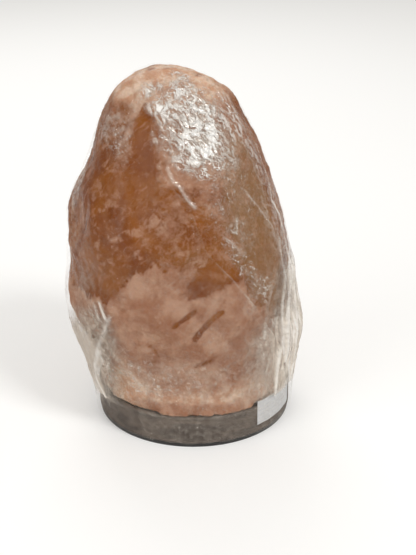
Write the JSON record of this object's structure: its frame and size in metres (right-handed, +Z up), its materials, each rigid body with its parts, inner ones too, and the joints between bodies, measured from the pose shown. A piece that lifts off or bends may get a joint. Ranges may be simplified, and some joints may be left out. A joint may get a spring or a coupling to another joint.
{
  "type": "salt crystal lamp",
  "caption": "Hewn egg-shaped rock salt lamp on a round wooden base, wrapped in clear stretch film as sold, with a bulb holder on a spring bracket that pulls out from below.",
  "frame": {"origin": "on the base's axis, in the plane of the felt ring's underside, where the lamp stands", "axes": "+Z up along the base's axis, -Y to the front as pictured, +X to the viewer's right"},
  "size_m": [0.146, 0.1298, 0.2153],
  "materials": {
    "rock_salt": "satin",
    "clear_film": "gloss",
    "label_paper": "matte",
    "dark_wood": "satin",
    "black_felt": "matte",
    "zinc_steel": "satin",
    "nylon": "matte",
    "spring_steel": "satin",
    "holder_plastic": "satin",
    "porcelain": "satin",
    "brass": "polished",
    "bulb_glass": "gloss",
    "nickel": "polished",
    "black_glass": "gloss",
    "solder": "satin",
    "tungsten": "satin"
  },
  "bodies": {
    "lamp": {"salt_crystal": "rock_salt", "stretch_film": "clear_film", "paper_label": "label_paper", "wooden_base": "dark_wood", "felt_pad": "black_felt", "fixing_screws": "zinc_steel", "screw_washers": "zinc_steel", "wall_plugs": "nylon"},
    "light_unit": {"threaded_tube": "zinc_steel", "lock_nut": "zinc_steel", "spring_bracket": "spring_steel", "holder_cap": "holder_plastic", "holder_body": "holder_plastic", "contact_block": "porcelain", "terminal_screws": "brass", "centre_contact": "brass", "side_contact": "brass", "thread_shell": "brass"},
    "bulb": {"bulb_cap": "nickel", "cap_insulator": "black_glass", "bulb_tip": "solder", "bulb_glass": "bulb_glass", "glass_stem": "bulb_glass", "lead_wires": "tungsten", "filament": "tungsten", "filament_support": "tungsten"}
  },
  "joints": [
    {"name": "light_unit_slide", "type": "slide", "parent": "lamp", "child": "light_unit", "axis": [0, 0, -1], "range_m": [0, 0.09]},
    {"name": "bulb_turn", "type": "hinge", "parent": "light_unit", "child": "bulb", "pos_m": [0, 0, 0.03], "axis": [0, 0, 1], "range_deg": [0, 1080]}
  ]
}
